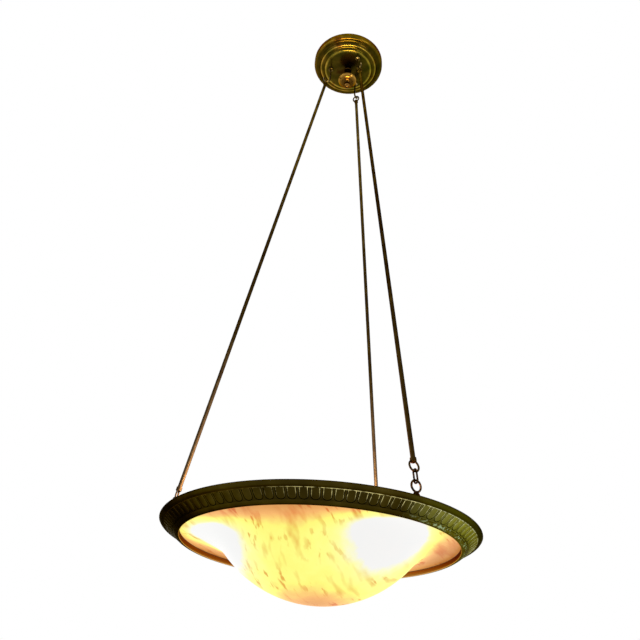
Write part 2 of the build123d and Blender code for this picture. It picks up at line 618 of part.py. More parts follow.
# ---------------------------------------------------------------- lamps
# Six-sided brass cup in the middle of the bowl, with a lamp holder on every
# second side.
with BuildPart() as cluster_cup:
    with BuildSketch(Plane.XY.offset(cluster_bottom)):
        RegularPolygon(CLUSTER_ACROSS / 2, 6, major_radius=False, rotation=lamp_angles[0] + 30)
    extrude(amount=CLUSTER_HEIGHT)
    cup_mouth = cluster_cup.faces().sort_by(Axis.Z)[-1]
    offset(amount=-CLUSTER_WALL, openings=cup_mouth, kind=Kind.INTERSECTION)
    with Locations((0, 0, cluster_bottom)):
        Cylinder(CLUSTER_BOLT_D / 2 + SCREW_GAP, 4 * CLUSTER_WALL, mode=Mode.SUBTRACT)
    for angle in lamp_angles:
        side_plane = Plane(origin=at_bearing(angle, holder_back, lamp_z), z_dir=at_bearing(angle, 1, 0))
        with Locations(side_plane):
            Cylinder(HOLDER_NIPPLE_D / 2 + SLIP, 4 * CLUSTER_WALL, mode=Mode.SUBTRACT)
finish(cluster_cup, "cluster_cup")

with BuildPart() as cluster_cover:
    with BuildSketch(Plane.XY.offset(cluster_top)):
        RegularPolygon(CLUSTER_ACROSS / 2, 6, major_radius=False, rotation=lamp_angles[0] + 30)
        Circle(CLUSTER_BOLT_D / 2 + SCREW_GAP, mode=Mode.SUBTRACT)
    extrude(amount=COVER_THICKNESS)
finish(cluster_cover, "cluster_cover")

# Steel spider: three arms slope from the cover down to the rim's top face.
arm_height = cover_top + ARM_THICKNESS / 2
tab_height = rim_top + ARM_THICKNESS / 2
arm_bend = CLUSTER_ACROSS / 2 + ARM_THICKNESS
with BuildPart() as lamp_spider:
    for angle in arm_angles:
        with BuildSketch(radial_plane(angle)):
            with BuildLine():
                Polyline(
                    (0, arm_height),
                    (arm_bend, arm_height),
                    (tab_start, tab_height),
                    (tab_end, tab_height),
                )
            trace(line_width=ARM_THICKNESS)
        extrude(amount=ARM_WIDTH / 2, both=True)
    with Locations((0, 0, arm_height)):
        Cylinder(ARM_HUB_R, ARM_THICKNESS)
        Cylinder(CLUSTER_BOLT_D / 2 + SCREW_GAP, 2 * ARM_THICKNESS, mode=Mode.SUBTRACT)
    with Locations((0, 0, tab_height)), PolarLocations(arm_screw_r, 3, arm_angles[0]):
        Cylinder(ARM_SCREW_D / 2 + SCREW_GAP, 2 * ARM_THICKNESS, mode=Mode.SUBTRACT)
finish(lamp_spider, "lamp_spider")

with BuildPart() as spider_screws:
    with Locations((0, 0, rim_top + ARM_THICKNESS)), PolarLocations(arm_screw_r, 3, arm_angles[0]):
        above = (Align.CENTER, Align.CENTER, Align.MIN)
        below = (Align.CENTER, Align.CENTER, Align.MAX)
        Cylinder(ARM_SCREW_HEAD_D / 2, ARM_SCREW_HEAD_HEIGHT, align=above)
        Cylinder(ARM_SCREW_D / 2, ARM_SCREW_LENGTH, align=below)
finish(spider_screws, "spider_screws")

# Long bolt down through spider, cover and cup, with a nut under the cup.
bolt_seat = cover_top + ARM_THICKNESS
nut_seat = cluster_bottom
with BuildPart() as cluster_bolt:
    with BuildSketch(Plane.XY.offset(bolt_seat)):
        RegularPolygon(CLUSTER_BOLT_HEAD_ACROSS / 2, 6, major_radius=False)
    extrude(amount=CLUSTER_BOLT_HEAD_HEIGHT)
    with Locations((0, 0, bolt_seat)):
        bolt_length = bolt_seat - nut_seat + CLUSTER_NUT_HEIGHT + CLUSTER_BOLT_PROUD
        Cylinder(CLUSTER_BOLT_D / 2, bolt_length, align=(Align.CENTER, Align.CENTER, Align.MAX))
finish(cluster_bolt, "cluster_bolt")

with BuildPart() as cluster_nut:
    with BuildSketch(Plane.XY.offset(nut_seat)):
        RegularPolygon(CLUSTER_BOLT_HEAD_ACROSS / 2, 6, major_radius=False)
        Circle(CLUSTER_BOLT_D / 2 + SLIP, mode=Mode.SUBTRACT)
    extrude(amount=-CLUSTER_NUT_HEIGHT)
finish(cluster_nut, "cluster_nut")

# Lamp holders, screw shells and lamps, drawn about each lamp's own axis.
for name, angle in zip(ROD_NAMES, lamp_angles):
    outward = at_bearing(angle, 1, 0)
    axis_start = at_bearing(angle, 0, lamp_z)
    lamp_side = Plane(origin=axis_start, x_dir=outward, z_dir=radial_plane(angle).z_dir)
    lamp_axis = Axis(axis_start, outward)

    well_floor = holder_mouth - HOLDER_WELL_DEPTH
    shell_r = SCREW_SHELL_BORE / 2 + SCREW_SHELL_WALL
    with BuildPart() as lamp_holder:
        with BuildSketch(lamp_side):
            with BuildLine():
                shoulder = holder_back + HOLDER_BACK_LENGTH
                Polyline(
                    (holder_back, HOLDER_NIPPLE_D / 2 + SLIP),
                    (holder_back, HOLDER_BACK_OD / 2),
                    (shoulder, HOLDER_BACK_OD / 2),
                    (shoulder + HOLDER_SHOULDER, HOLDER_OD / 2),
                    (holder_mouth, HOLDER_OD / 2),
                    (holder_mouth, shell_r + SLIP),
                    (well_floor, shell_r + SLIP),
                    (well_floor, HOLDER_NIPPLE_D / 2 + SLIP),
                    close=True,
                )
            make_face()
        revolve(axis=lamp_axis)
    finish(lamp_holder, f"lamp_holder_{name}")

    with BuildPart() as screw_shell:
        with BuildSketch(lamp_side):
            with BuildLine():
                shell_mouth = well_floor + SCREW_SHELL_LENGTH
                Polyline(
                    (well_floor, HOLDER_NIPPLE_D / 2),
                    (well_floor, shell_r),
                    (shell_mouth, shell_r),
                    (shell_mouth, shell_r - SCREW_SHELL_WALL),
                    (well_floor + SCREW_SHELL_WALL, shell_r - SCREW_SHELL_WALL),
                    (well_floor + SCREW_SHELL_WALL, HOLDER_NIPPLE_D / 2),
                    close=True,
                )
            make_face()
        revolve(axis=lamp_axis)
    finish(screw_shell, f"screw_shell_{name}")

    cap_r = BULB_CAP_D / 2
    cap_back = glass_start - BULB_CAP_LENGTH
    with BuildPart() as bulb_cap:
        with BuildSketch(lamp_side):
            with BuildLine():
                Polyline(
                    (cap_back - BULB_CONTACT_LENGTH, 0),
                    (cap_back - BULB_CONTACT_LENGTH, BULB_CONTACT_R),
                    (cap_back, cap_r - BULB_CAP_TAPER_DEPTH),
                    (cap_back + BULB_CAP_TAPER, cap_r),
                    (glass_start, cap_r),
                    (glass_start, 0),
                    close=True,
                )
            make_face()
        revolve(axis=lamp_axis)
    finish(bulb_cap, f"bulb_cap_{name}")

    neck_end = (glass_start + GLASS_NECK_LENGTH, GLASS_NECK_R)
    with BuildPart() as bulb_glass:
        for skin in (0, GLASS_WALL):
            globe_r = GLASS_R - skin
            shoulder_x = glass_r - globe_r * sin(radians(GLASS_SHOULDER_SLOPE))
            shoulder_y = globe_r * cos(radians(GLASS_SHOULDER_SLOPE))
            with BuildSketch(lamp_side):
                with BuildLine():
                    Line((glass_start, 0), (glass_start, GLASS_NECK_R - skin))
                    Line((glass_start, GLASS_NECK_R - skin), (neck_end[0], neck_end[1] - skin))
                    Line((neck_end[0], neck_end[1] - skin), (shoulder_x, shoulder_y))
                    ThreePointArc((shoulder_x, shoulder_y), (glass_r, globe_r), (glass_r + globe_r, 0))
                    Line((glass_r + globe_r, 0), (glass_start, 0))
                make_face()
            revolve(axis=lamp_axis, mode=Mode.SUBTRACT if skin else Mode.ADD)
    finish(bulb_glass, f"bulb_glass_{name}")

with BuildPart() as holder_nipples:
    for angle in lamp_angles:
        end = at_bearing(angle, holder_back - CLUSTER_WALL - HOLDER_NIPPLE_PROUD, lamp_z)
        with BuildSketch(Plane(origin=end, z_dir=at_bearing(angle, 1, 0))):
            Circle(HOLDER_NIPPLE_D / 2)
            Circle(HOLDER_NIPPLE_D / 2 - HOLDER_NIPPLE_WALL, mode=Mode.SUBTRACT)
        extrude(amount=HOLDER_NIPPLE_LENGTH)
finish(holder_nipples, "holder_nipples")

print(f"rod lean {rod_lean:.3f} deg, rod line {rod_line:.2f}, tube {tube_end - tube_start:.1f} long")
print(f"rods swing about a line {swing_pivot:.2f} below the centre of the hook's bow")
print(f"lamp height {lamp_z - rim_top:.2f} above the rim, bowl bottom {dome_z - dome_r - rim_top:.2f}")
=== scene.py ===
"""Alabaster bowl pendant: the finished surfaces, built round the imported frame."""

from math import atan2, cos, hypot, pi, radians, sin, sqrt, tau

import bmesh
import bpy
from mathutils import Matrix, Vector


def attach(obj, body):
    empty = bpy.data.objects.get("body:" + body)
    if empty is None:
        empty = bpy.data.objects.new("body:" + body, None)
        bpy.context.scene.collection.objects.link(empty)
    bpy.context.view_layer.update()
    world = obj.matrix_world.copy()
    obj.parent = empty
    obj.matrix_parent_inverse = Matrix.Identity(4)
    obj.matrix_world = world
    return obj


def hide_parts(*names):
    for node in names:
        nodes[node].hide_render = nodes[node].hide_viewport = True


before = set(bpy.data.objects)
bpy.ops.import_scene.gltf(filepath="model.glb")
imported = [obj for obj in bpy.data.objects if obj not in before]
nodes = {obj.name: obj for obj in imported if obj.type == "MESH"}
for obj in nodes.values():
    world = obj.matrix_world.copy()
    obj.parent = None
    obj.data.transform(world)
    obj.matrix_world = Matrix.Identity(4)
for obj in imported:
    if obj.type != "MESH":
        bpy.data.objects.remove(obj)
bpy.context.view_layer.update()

# Canopy cup: sheet brass spun over a form into a rolled edge, a cove, a bead
# and a small scotia round a flat face. The finial nut clamps it against the
# strap above. Sizes here and below are in millimetres, places in (r, z).
MM = 0.001
CANOPY_R = 75.0
CANOPY_WALL = 1.2
CANOPY_SIDE_MID_Z = -4.5
CANOPY_ROLL_R = 4.0
COVE_START = (71.0, -13.0)
BEAD_START = (61.5, -17.0)
SCOTIA_START = (58.5, -19.6)
SCOTIA_END = (52.0, -22.2)
FACE_EDGE_R = 1.8
CANOPY_FACE_Z = -24.0
FACE_RINGS = (44, 30, 16)
NIPPLE_HOLE_R = 5.1


def srgb(code):
    """Linear colour of an sRGB hex value."""
    shares = [int(code[i : i + 2], 16) / 255 for i in (1, 3, 5)]
    return [c / 12.92 if c <= 0.04045 else ((c + 0.055) / 1.055) ** 2.4 for c in shares] + [1]


def per_metre(size):
    """Texture scale of a pattern whose features are this many millimetres wide."""
    return 1 / (size * MM)


def add(tree, kind, links=None, out=0, stops=(), **settings):
    """Add a node and return one of its outputs.

    Links give its inputs values or other nodes' outputs, and stops give a
    ramp its places and sRGB hex colours.
    """
    made = tree.nodes.new(kind)
    for key, value in settings.items():
        setattr(made, key, value)
    for key, value in (links or {}).items():
        if isinstance(value, bpy.types.NodeSocket):
            tree.links.new(value, made.inputs[key])
        else:
            made.inputs[key].default_value = value
    if stops:
        elements = made.color_ramp.elements
        while len(elements) < len(stops):
            elements.new(0.5)
        for element, (place, code) in zip(elements, stops):
            element.position = place
            element.color = srgb(code)
    return made.outputs[out]


def finish_called(name, metallic=0.0, roughness=0.5):
    """A new material with its tree, its Principled shader and Object coordinates."""
    made = bpy.data.materials.new(name)
    made.use_nodes = True
    tree = made.node_tree
    shader = tree.nodes["Principled BSDF"]
    shader.inputs["Roughness"].default_value = roughness
    shader.inputs["Metallic"].default_value = metallic
    return made, tree, shader, add(tree, "ShaderNodeTexCoord", out="Object")


def from_axis(tree, place):
    """Axes of a point, its flat vector from the lamp's axis and that vector's length."""
    axis = add(tree, "ShaderNodeSeparateXYZ", {"Vector": place}).node.outputs
    flat = add(tree, "ShaderNodeCombineXYZ", {"X": axis["X"], "Y": axis["Y"]})
    return axis, flat, add(tree, "ShaderNodeVectorMath", {0: flat}, "Value", operation="LENGTH")


def roughen(tree, shader, place, size, depth, low, high):
    """Bump and roughness from one noise: feature size and depth in millimetres."""
    grain = add(tree, "ShaderNodeTexNoise", {"Vector": place, "Scale": per_metre(size), "Detail": 3.0})
    bump = add(tree, "ShaderNodeBump", {"Height": grain, "Distance": depth * MM})
    spread = add(tree, "ShaderNodeMapRange", {"Value": grain, "To Min": low, "To Max": high})
    tree.links.new(bump, shader.inputs["Normal"])
    tree.links.new(spread, shader.inputs["Roughness"])


def corner_arc(centre, radius, start, end, steps):
    """Points of an arc in (r, z), between two angles in degrees."""
    turn = [radians(start + (end - start) * i / steps) for i in range(steps + 1)]
    return [(centre[0] + radius * cos(a), centre[1] + radius * sin(a)) for a in turn]


def swell(start, end, sag, steps):
    """Points of a shallow curve between two points; a positive sag is convex."""
    run, rise = end[0] - start[0], end[1] - start[1]
    span = hypot(run, rise)
    points = []
    for i in range(steps + 1):
        t = i / steps
        bow = sag * 4 * t * (1 - t) / span
        points.append((start[0] + run * t - rise * bow, start[1] + rise * t + run * bow))
    return points


def inner_wall(outline, thickness):
    """The outline moved towards the inside by a wall, in reverse order."""
    moved = []
    for i, (r, z) in enumerate(outline):
        before = outline[max(i - 1, 0)]
        after = outline[min(i + 1, len(outline) - 1)]
        run, rise = after[0] - before[0], after[1] - before[1]
        span = hypot(run, rise)
        moved.append((r + thickness * rise / span, z - thickness * run / span))
    return moved[::-1]


def turned(outline, steps=192, closed=True):
    """Spin an outline of (r, z) in millimetres about the Z axis."""
    mesh = bmesh.new()
    verts = [mesh.verts.new((r * MM, 0, z * MM)) for r, z in outline]
    pairs = list(zip(verts, verts[1:]))
    if closed:
        pairs.append((verts[-1], verts[0]))
    edges = [mesh.edges.new(pair) for pair in pairs]
    bmesh.ops.spin(
        mesh, geom=verts + edges, cent=(0, 0, 0), axis=(0, 0, 1), angle=tau, steps=steps, use_merge=True
    )
    bmesh.ops.remove_doubles(mesh, verts=mesh.verts, dist=0.002 * MM)
    bmesh.ops.recalc_face_normals(mesh, faces=mesh.faces)
    return mesh


def piece_from(mesh, name, material, body, replaced, sharp=35):
    """Make a mesh a piece that rides on its body, smooth but for edges sharper than an angle."""
    for face in mesh.faces:
        face.smooth = True
    for edge in mesh.edges:
        edge.smooth = edge.calc_face_angle(0) < radians(sharp)
    data = bpy.data.meshes.new(name)
    mesh.to_mesh(data)
    mesh.free()
    data.materials.append(material)
    piece = bpy.data.objects.new(name, data)
    bpy.context.scene.collection.objects.link(piece)
    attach(piece, body)
    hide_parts(replaced)


def coat(material, *names):
    """Give CAD nodes a better material in their own slots."""
    for name in names:
        for place in nodes[name].material_slots:
            place.material = material


# Aged lacquered brass: tarnish gives it olive and brown clouds a few
# centimetres wide, and it is greener on one side. The rings of colour follow
# the share of the radius, and on the bead and the face's edge they are a
# painted highlight in bright gold.
GREEN_SIDE_END = 0.06
canopy_brass, tree, shader, place = finish_called("aged_brass_spun", 1.0)
axis, _, radius = from_axis(tree, place)
share = add(tree, "ShaderNodeMath", {0: radius, 1: CANOPY_R * MM}, operation="DIVIDE")
# The stops at 0.665 and 0.8 are painted highlights on the face's edge and the bead.
rings = add(
    tree,
    "ShaderNodeValToRGB",
    {"Fac": share},
    stops=[
        (0.0, "#3a3010"),
        (0.3, "#403612"),
        (0.62, "#4d4516"),
        (0.665, "#b09a48"),
        (0.7, "#4a3e14"),
        (0.77, "#5a4a18"),
        (0.8, "#b89a4c"),
        (0.83, "#463812"),
        (0.92, "#42370f"),
        (0.96, "#665018"),
        (1.0, "#7a6224"),
    ],
)
green_side = add(
    tree,
    "ShaderNodeMapRange",
    {"Value": axis["X"], "From Min": 0.0, "From Max": GREEN_SIDE_END, "To Max": 0.7},
)
green_rings = add(
    tree,
    "ShaderNodeMix",
    {0: 1.0, 6: rings, 7: srgb("#b8d890")},
    out=2,
    data_type="RGBA",
    blend_type="MULTIPLY",
)
rings = add(tree, "ShaderNodeMix", {0: green_side, 6: rings, 7: green_rings}, out=2, data_type="RGBA")
cloud = add(tree, "ShaderNodeTexNoise", {"Vector": place, "Scale": per_metre(26), "Detail": 4.0})
tarnish = add(
    tree,
    "ShaderNodeValToRGB",
    {"Fac": cloud},
    stops=[(0.32, "#8a9a55"), (0.48, "#d8cf94"), (0.56, "#fff0c0"), (0.68, "#c98f5c")],
)
tarnished = add(
    tree, "ShaderNodeMix", {0: 0.85, 6: rings, 7: tarnish}, out=2, data_type="RGBA", blend_type="MULTIPLY"
)
tree.links.new(tarnished, shader.inputs["Base Color"])
roughen(tree, shader, place, 2.2, 0.004, 0.14, 0.24)
shader.inputs["Specular Tint"].default_value = srgb("#a08a48")

cup = [(CANOPY_R, 0.0), (CANOPY_R, CANOPY_SIDE_MID_Z)]
cup += corner_arc((COVE_START[0], COVE_START[1] + CANOPY_ROLL_R), CANOPY_ROLL_R, 0, -90, 8)
cup += swell(COVE_START, BEAD_START, -1.8, 12)[1:]
cup += swell(BEAD_START, SCOTIA_START, 1.2, 8)[1:]
cup += swell(SCOTIA_START, SCOTIA_END, -1.0, 8)[1:]
cup += corner_arc((SCOTIA_END[0] - FACE_EDGE_R, SCOTIA_END[1]), FACE_EDGE_R, 0, -90, 6)[1:]
cup += [(r, CANOPY_FACE_Z) for r in (*FACE_RINGS, NIPPLE_HOLE_R)]
canopy = turned(cup + inner_wall(cup, CANOPY_WALL), 256)
piece_from(canopy, "canopy_cup", canopy_brass, "canopy", "canopy_shell")

# Fixing parts above the canopy's face: the strap on the ceiling box, the
# threaded nipple with its locknut, and the disc that carries the hooks. They
# are zinc-plated steel pressings and screws, a dull blue grey with spangle.
plated_steel, tree, shader, place = finish_called("zinc_plated_steel", 1.0)
spangle = add(tree, "ShaderNodeTexVoronoi", {"Vector": place, "Scale": per_metre(3.0)}, "Color")
tone = add(tree, "ShaderNodeValToRGB", {"Fac": spangle}, stops=[(0.0, "#7f8488"), (1.0, "#a5a9a8")])
tree.links.new(tone, shader.inputs["Base Color"])
roughen(tree, shader, place, 1.2, 0.02, 0.32, 0.5)
coat(plated_steel, "mounting_strap", "hanger_nipple", "nipple_locknut", "hook_plate")
coat(plated_steel, "hook_nuts", "cluster_nut", "holder_nipples")

# Grounding screw in the strap: a steel machine screw with the usual green
# chromate finish, which is a little uneven and half metallic to the eye.


def clouded(name, metallic, patch, detail, stops, grain):
    """A finish of one clouded colour, whose patches are this many millimetres wide.

    The grain is what roughen is given: size, depth and both ends of the
    roughness.
    """
    made, tree, shader, place = finish_called(name, metallic)
    cloud = add(tree, "ShaderNodeTexNoise", {"Vector": place, "Scale": per_metre(patch), "Detail": detail})
    tone = add(tree, "ShaderNodeValToRGB", {"Fac": cloud}, stops=stops)
    tree.links.new(tone, shader.inputs["Base Color"])
    roughen(tree, shader, place, *grain)
    return made, shader


ground_green, _ = clouded(
    "green_chromate_screw",
    metallic=0.8,
    patch=4,
    detail=2.0,
    stops=[(0.3, "#2f6b3c"), (0.7, "#4d8f55")],
    grain=(0.8, 0.01, 0.3, 0.45),
)
coat(ground_green, "ground_screw")

# Finial nut: turned from brass bar as a long bell over a small knob, and
# screwed up the nipple by hand. Its colour goes by height: brown at the neck,
# dark at the stem above the knob, and pale gold on the bell's two edge rings
# and the knob's lower side, which are painted highlights.
FINIAL_BORE_R = 4.95
FINIAL_BORE_END = -48.0
NECK = (6.5, -30.0)
KNOB_R = 6.5
KNOB_MID_Z = -75.0
turned_brass, tree, shader, place = finish_called("turned_brass_warm", 1.0)
height = add(tree, "ShaderNodeSeparateXYZ", {"Vector": place}, "Z")
down = add(tree, "ShaderNodeMapRange", {"Value": height, "From Min": -0.024, "From Max": -0.082})
# The pale stops at 0.585, 0.63 and 0.92 are painted highlights.
height_tone_and_highlights = add(
    tree,
    "ShaderNodeValToRGB",
    {"Fac": down},
    stops=[
        (0.0, "#3a2a10"),
        (0.2, "#4f3814"),
        (0.45, "#8a6828"),
        (0.585, "#c4a052"),
        (0.605, "#6a4e1c"),
        (0.63, "#b8944a"),
        (0.67, "#8a6a2c"),
        (0.71, "#5a4218"),
        (0.76, "#2f220c"),
        (0.84, "#4a3412"),
        (0.92, "#8a6a38"),
        (1.0, "#4a3614"),
    ],
)
cloud = add(tree, "ShaderNodeTexNoise", {"Vector": place, "Scale": per_metre(12), "Detail": 4.0})
tone = add(
    tree, "ShaderNodeValToRGB", {"Fac": cloud}, stops=[(0.3, "#8f7650"), (0.55, "#e6cfa4"), (0.72, "#fff0d0")]
)
clouded_tone_and_highlights = add(
    tree, "ShaderNodeMix", {0: 0.6, 6: height_tone_and_highlights, 7: tone}, out=2, data_type="RGBA", blend_type="MULTIPLY"
)
tree.links.new(clouded_tone_and_highlights, shader.inputs["Base Color"])
roughen(tree, shader, place, 1.0, 0.002, 0.12, 0.22)
shader.inputs["Specular Tint"].default_value = srgb("#b08a50")

bell = [(FINIAL_BORE_R, CANOPY_FACE_Z), (7.6, CANOPY_FACE_Z), (8.0, -24.4), (8.0, -25.7), (7.7, -26.1)]
bell += swell((7.7, -26.2), NECK, -0.3, 5)[1:]
bell += swell(NECK, (18.6, -56.9), -2.9, 16)[1:]
bell += corner_arc((18.5, -58.0), 1.0, 80, -55, 6)  # upper edge ring
bell += [(18.75, -58.95)]
bell += corner_arc((18.4, -59.8), 0.95, 60, -70, 6)  # lower edge ring
bell += swell((18.1, -60.9), (12.1, -64.2), 0.8, 8)[1:]
bell += [(11.8, -64.9), (11.2, -65.1)]
bell += swell((11.0, -65.2), (4.5, -68.2), -1.1, 8)[1:]
bell += corner_arc((0, KNOB_MID_Z), KNOB_R, 46, -90, 16)
bell[-1] = (0.0, KNOB_MID_Z - KNOB_R)
bell += [(0.0, FINIAL_BORE_END), (FINIAL_BORE_R, FINIAL_BORE_END)]
piece_from(turned(bell, 128), "finial_nut", turned_brass, "finial", "finial")

# Hooks: three bent brass hooks with turned collars, screwed through the face
# of the canopy. They are darker than the finial, and rubbed bright in patches.
ROD_NAMES = ("front", "left", "back")
hook_brass, _ = clouded(
    "bent_brass_wire",
    metallic=1.0,
    patch=7,
    detail=4.0,
    stops=[(0.32, "#33260c"), (0.52, "#5c4a1c"), (0.7, "#b39a5e")],
    grain=(1.2, 0.01, 0.2, 0.38),
)
for name in ROD_NAMES:
    coat(hook_brass, f"hook_{name}")

# Rods: drawn brass tube with a cast eye pinned into each end. The lacquer is
# olive near the canopy and nearly black lower down, and the side that faces
# the lamps is painted tan towards the foot, a painted glow of their light.
rod_brass, tree, shader, place = finish_called("drawn_brass_dark", 1.0)
cloud = add(tree, "ShaderNodeTexNoise", {"Vector": place, "Scale": per_metre(20), "Detail": 5.0})
axis, flat, _ = from_axis(tree, place)
# The lamps' light on the side that faces them is painted on as tan.
outward = add(tree, "ShaderNodeVectorMath", {0: flat}, operation="NORMALIZE")
facing = add(tree, "ShaderNodeTexCoord", out="Normal")
facing = add(tree, "ShaderNodeVectorMath", {0: facing, 1: outward}, "Value", operation="DOT_PRODUCT")
facing = add(tree, "ShaderNodeMapRange", {"Value": facing, "From Min": 0.35, "From Max": -0.45})
foot = add(tree, "ShaderNodeMapRange", {"Value": axis["Z"], "From Min": -0.72, "From Max": -1.05})
lamp_side_glow = add(tree, "ShaderNodeMath", {0: foot, 1: facing}, operation="MULTIPLY")
below = add(tree, "ShaderNodeMapRange", {"Value": axis["Z"], "From Min": -0.12, "From Max": -0.5})
top_tone, low_tone, lamp_glow_tone = (
    add(tree, "ShaderNodeValToRGB", {"Fac": cloud}, stops=list(zip((0.3, 0.55, 0.75), codes)))
    for codes in (
        ("#43330f", "#5c4a1a", "#7d682c"),
        ("#281b08", "#34260c", "#463614"),
        ("#6e543c", "#83674b", "#9a7d61"),
    )
)
tone = add(tree, "ShaderNodeMix", {0: below, 6: top_tone, 7: low_tone}, out=2, data_type="RGBA")
tone = add(tree, "ShaderNodeMix", {0: lamp_side_glow, 6: tone, 7: lamp_glow_tone}, out=2, data_type="RGBA")
tree.links.new(tone, shader.inputs["Base Color"])
roughen(tree, shader, place, 1.5, 0.002, 0.3, 0.42)
shader.inputs["Specular Tint"].default_value = srgb("#6b5428")
for name in ROD_NAMES:
    coat(rod_brass, f"rod_upper_eye_{name}", f"rod_tube_{name}", f"rod_lower_eye_{name}")

# Links and rim eyes: an oval link of bent brass wire joins each rod to an eye
# bolt in the rim. The wire is nearly black, and rubbed to copper in patches.
link_brass, shader = clouded(
    "rubbed_brass_wire",
    metallic=1.0,
    patch=4,
    detail=3.0,
    stops=[(0.45, "#1e1306"), (0.6, "#4a3018"), (0.7, "#b88a62")],
    grain=(0.9, 0.01, 0.22, 0.4),
)
shader.inputs["Specular Tint"].default_value = srgb("#5a3c1c")
for name in ROD_NAMES:
    coat(link_brass, f"link_{name}", f"rim_eye_{name}")

# Rim ring: cast bronze, chased by hand into a border of ninety-six tongues
# with narrow darts between them, over a plain lip. The eye bolts stand in its
# flat top, and the stone rests on the ledge inside it.
RIM_TOP = -1042.0
RIM_R = 225.0
RIM_ROLL_R = 3.0
RIM_TOP_INNER_R = 204.5
RIM_LIP_R = 195.1
RIM_LIP_Z = RIM_TOP - 21.3
LEDGE_Z = RIM_TOP - 14.3
BAND_HEAD = (217.7, RIM_TOP - 7.0)
BAND_FOOT = (203.1, RIM_TOP - 18.2)
BAND_LENGTH = hypot(BAND_HEAD[0] - BAND_FOOT[0], BAND_HEAD[1] - BAND_FOOT[1])
TONGUES = 96
TONGUE_HALF = 5.0
TONGUE_CROWN = 0.3  # how far the middle of a tongue stands proud
TONGUE_TURN = 11.5  # down the band to the centre of the tongue's round end
CHANNEL_HALF = 6.1
CHANNEL_DEPTH = 0.9
CARVING_START, CARVING_END = 0.7, 17.6  # down the band
DART_COLUMN = 7.0  # stands for the middle of a dart among the columns
ROWS = (
    0.0, 0.3, 0.62, 0.75, 3.0, 6.0, 9.0, 11.5, 13.0, 14.3,
    15.3, 16.0, 16.4, 16.55, 17.1, 17.5, 17.62, 17.9, 18.4,
)
COLUMNS = (0.0, 1.8, 3.4, 4.4, 4.86, TONGUE_HALF, 5.12, 5.98, CHANNEL_HALF)


def on_band(down):
    """Point of the ornament band, a distance down from its head."""
    share = down / BAND_LENGTH
    return tuple(h + (f - h) * share for h, f in zip(BAND_HEAD, BAND_FOOT))


rim = [(RIM_TOP_INNER_R, RIM_TOP), (212.0, RIM_TOP), (221.0, RIM_TOP)]
rim += corner_arc((RIM_R - RIM_ROLL_R, RIM_TOP - RIM_ROLL_R), RIM_ROLL_R, 84, 0, 5)
rim += swell((RIM_R, RIM_TOP - RIM_ROLL_R), (219.0, RIM_TOP - 6.75), 0.9, 5)[1:]
rim += [(218.5, RIM_TOP - 7.0)]
rim += [on_band(down) for down in ROWS]
rim += [(202.1, RIM_TOP - 19.1)]
rim += swell((201.9, RIM_TOP - 19.2), (196.0, RIM_LIP_Z), 0.5, 4)
rim += [(195.4, RIM_LIP_Z), (RIM_LIP_R, RIM_LIP_Z + 0.4), (RIM_LIP_R, RIM_TOP - 17.0)]
rim += [(RIM_LIP_R, LEDGE_Z), (RIM_TOP_INNER_R, LEDGE_Z)]

# One unit, from the middle of a dart to the middle of the next, is spun. Its
# columns are then moved to the edges of the tongue and of its channel, and
# each point keeps a value from 0 in the channels to 1 on the edges: wear with
# a painted highlight on the edges, patina with painted shade in the channels.
unit = bmesh.new()
verts = [unit.verts.new((r * MM, 0, z * MM)) for r, z in rim]
edges = [unit.edges.new(pair) for pair in zip(verts, verts[1:] + verts[:1])]
columns = [-DART_COLUMN] + [-c for c in COLUMNS[:0:-1]] + list(COLUMNS) + [DART_COLUMN]
steps = len(columns) - 1
bmesh.ops.spin(unit, geom=verts + edges, cent=(0, 0, 0), axis=(0, 0, 1), angle=tau / TONGUES, steps=steps)
wear_and_relief_light = unit.verts.layers.float.new("wear_and_relief_light")
slope = atan2(BAND_HEAD[1] - BAND_FOOT[1], BAND_HEAD[0] - BAND_FOOT[0])
for vert in unit.verts:
    r, z = hypot(vert.co.x, vert.co.y) / MM, vert.co.z / MM
    column = columns[round(atan2(vert.co.y, vert.co.x) / (tau / TONGUES) * steps)]
    reach = abs(column)
    down = (BAND_HEAD[0] - r) * cos(slope) + (BAND_HEAD[1] - z) * sin(slope)
    off = abs((BAND_HEAD[0] - r) * sin(slope) - (BAND_HEAD[1] - z) * cos(slope))
    banded = off < 0.05 and -0.01 < down < BAND_LENGTH + 0.01
    past = max(0.0, down - TONGUE_TURN) if banded else 0.0
    inner = max(0.2, sqrt(max(0.0, TONGUE_HALF**2 - past**2)))
    outer = max(0.4, sqrt(max(0.0, CHANNEL_HALF**2 - past**2)))
    if reach > CHANNEL_HALF:
        across = pi * r / TONGUES
    elif reach <= TONGUE_HALF:
        across = inner * reach / TONGUE_HALF
    else:
        across = inner + (outer - inner) * (reach - TONGUE_HALF) / (CHANNEL_HALF - TONGUE_HALF)
    lift = 0.0
    vert[wear_and_relief_light] = 0.35
    if banded and CARVING_START < down < CARVING_END:
        spread = hypot(across, past)
        if spread < TONGUE_HALF + 0.05:
            lift = TONGUE_CROWN * (1 - (spread / TONGUE_HALF) ** 2)
            vert[wear_and_relief_light] = max(0.3, 1 - (TONGUE_HALF - spread) / 2.2 - 0.05 * max(0.0, down - 7.0))
        elif spread < CHANNEL_HALF - 0.05:
            lift = -CHANNEL_DEPTH
            vert[wear_and_relief_light] = 0.0
        else:
            vert[wear_and_relief_light] = 0.5 - 0.02 * down
    elif banded and down < 1:
        vert[wear_and_relief_light] = 0.9
    bearing = (-1 if column < 0 else 1) * across / r
    vert.co.x = (r + lift * sin(slope)) * MM * cos(bearing)
    vert.co.y = (r + lift * sin(slope)) * MM * sin(bearing)
    vert.co.z = (z - lift * cos(slope)) * MM
